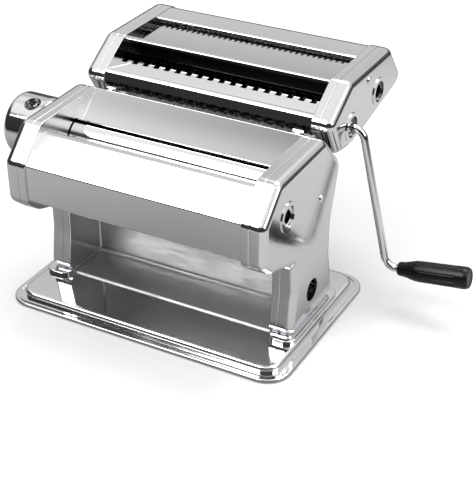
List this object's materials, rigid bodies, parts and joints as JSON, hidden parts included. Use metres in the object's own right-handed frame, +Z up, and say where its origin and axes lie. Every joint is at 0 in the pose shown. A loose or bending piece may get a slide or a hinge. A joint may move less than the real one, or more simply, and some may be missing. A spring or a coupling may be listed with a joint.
{
  "type": "pasta roller machine",
  "caption": "Hand-cranked pasta roller on a pressed steel base: smooth rollers with a thickness dial, and a sliding cutter unit with a wide and a fine slot behind.",
  "frame": {"origin": "centre of the base on the table top, at the feet", "axes": "+X towards the crank side, -Y towards the side where rolled dough comes out, +Z up"},
  "size_m": [0.2948, 0.1981, 0.1495],
  "materials": {
    "polished_steel": "polished",
    "plate_steel": "polished",
    "roller_steel": "polished",
    "gear_steel": "satin",
    "hardware_steel": "satin",
    "bush_brass": "satin",
    "pale_plastic": "matte",
    "dial_black": "gloss",
    "grip_plastic": "satin",
    "foot_rubber": "matte"
  },
  "bodies": {
    "frame": {"base_plate": "polished_steel", "rubber_feet": "foot_rubber", "base_screws": "hardware_steel", "foot_blocks": "plate_steel", "inner_plate_left": "plate_steel", "inner_plate_right": "plate_steel", "side_cover_left": "polished_steel", "side_cover_right": "polished_steel", "cover_rivets": "polished_steel", "crank_hole_ring": "polished_steel", "tie_rods": "hardware_steel", "tie_rod_nuts": "hardware_steel", "front_cover": "polished_steel", "rear_cover": "polished_steel", "hopper_plate": "polished_steel", "chute_panel": "polished_steel", "drive_roller_bushes": "bush_brass", "carrier_guides": "plate_steel", "roller_scrapers": "pale_plastic", "spindle_bush": "bush_brass", "number_ring": "dial_black", "cutter_rails": "plate_steel"},
    "drive_roller": {"drive_roller": "roller_steel", "drive_roller_gear": "gear_steel"},
    "roller_carrier": {"carrier_left": "plate_steel", "carrier_right": "plate_steel"},
    "rear_roller": {"rear_roller": "roller_steel", "rear_roller_gear": "gear_steel"},
    "dial_spindle": {"cam_spindle": "gear_steel", "dial_screw": "hardware_steel", "dial_spring": "hardware_steel"},
    "dial_knob": {"dial_knob": "polished_steel", "dial_cap": "dial_black"},
    "cutter_unit": {"cutter_inner_left": "plate_steel", "cutter_inner_right": "plate_steel", "cutter_cover_left": "polished_steel", "cutter_cover_right": "polished_steel", "cutter_bushes": "bush_brass", "cutter_tie_rods": "hardware_steel", "cutter_tie_nuts": "hardware_steel", "cutter_hole_rings": "polished_steel", "cutter_rivets": "polished_steel", "cutter_shoes": "pale_plastic", "cutter_front_panel": "polished_steel", "cutter_centre_plate": "polished_steel", "cutter_rear_cover": "polished_steel", "wide_combs": "pale_plastic", "fine_combs": "pale_plastic"},
    "wide_drive": {"wide_drive_cutter": "roller_steel", "wide_drive_gear": "gear_steel"},
    "wide_front": {"wide_front_cutter": "roller_steel", "wide_front_gear": "gear_steel"},
    "fine_drive": {"fine_drive_cutter": "roller_steel", "fine_drive_gear": "gear_steel"},
    "fine_front": {"fine_front_cutter": "roller_steel", "fine_front_gear": "gear_steel"},
    "crank": {"crank_rod": "polished_steel", "grip_screw": "hardware_steel"},
    "grip": {"crank_grip": "grip_plastic", "grip_plug": "grip_plastic"}
  },
  "joints": [
    {"name": "drive_roller_spin", "type": "hinge", "parent": "frame", "child": "drive_roller", "pos_m": [0, -0.037, 0.1], "axis": [1, 0, 0], "continuous": true},
    {"name": "knob_turn", "type": "hinge", "parent": "frame", "child": "dial_spindle", "pos_m": [0, -0.0071, 0.1], "axis": [1, 0, 0], "range_deg": [-72, 72]},
    {"name": "gap_adjust", "type": "slide", "parent": "frame", "child": "roller_carrier", "axis": [0, 1, 0], "range_m": [-0.0012, 0.0012]},
    {"name": "rear_roller_spin", "type": "hinge", "parent": "roller_carrier", "child": "rear_roller", "pos_m": [0, -0.0071, 0.1], "axis": [1, 0, 0], "continuous": true},
    {"name": "knob_pull", "type": "slide", "parent": "dial_spindle", "child": "dial_knob", "axis": [-1, 0, 0], "range_m": [0, 0.004], "stiffness_N_per_m": 400, "springref_m": -0.006, "deforming": ["dial_spring"]},
    {"name": "cutter_lift", "type": "slide", "parent": "frame", "child": "cutter_unit", "axis": [0, -0.6952, 0.7188], "range_m": [0, 0.024]},
    {"name": "wide_drive_spin", "type": "hinge", "parent": "cutter_unit", "child": "wide_drive", "pos_m": [0, 0.0522, 0.1186], "axis": [1, 0, 0], "continuous": true},
    {"name": "wide_front_spin", "type": "hinge", "parent": "cutter_unit", "child": "wide_front", "pos_m": [0, 0.03737, 0.12459], "axis": [1, 0, 0], "continuous": true},
    {"name": "fine_drive_spin", "type": "hinge", "parent": "cutter_unit", "child": "fine_drive", "pos_m": [0, 0.0933, 0.1262], "axis": [1, 0, 0], "continuous": true},
    {"name": "fine_front_spin", "type": "hinge", "parent": "cutter_unit", "child": "fine_front", "pos_m": [0, 0.07742, 0.12425], "axis": [1, 0, 0], "continuous": true},
    {"name": "crank_pull", "type": "slide", "parent": "wide_drive", "child": "crank", "axis": [1, 0, 0], "range_m": [0, 0.025]},
    {"name": "grip_spin", "type": "hinge", "parent": "crank", "child": "grip", "pos_m": [0.1175, 0.0522, 0.0256], "axis": [0.9903, 0, 0.1392], "continuous": true}
  ],
  "couplings": [
    {"joint": "rear_roller_spin", "follows": "drive_roller_spin", "ratio": -1},
    {"joint": "knob_turn", "follows": "gap_adjust", "rad_per_m": -1047.2},
    {"joint": "wide_front_spin", "follows": "wide_drive_spin", "ratio": -1},
    {"joint": "fine_front_spin", "follows": "fine_drive_spin", "ratio": -1}
  ]
}
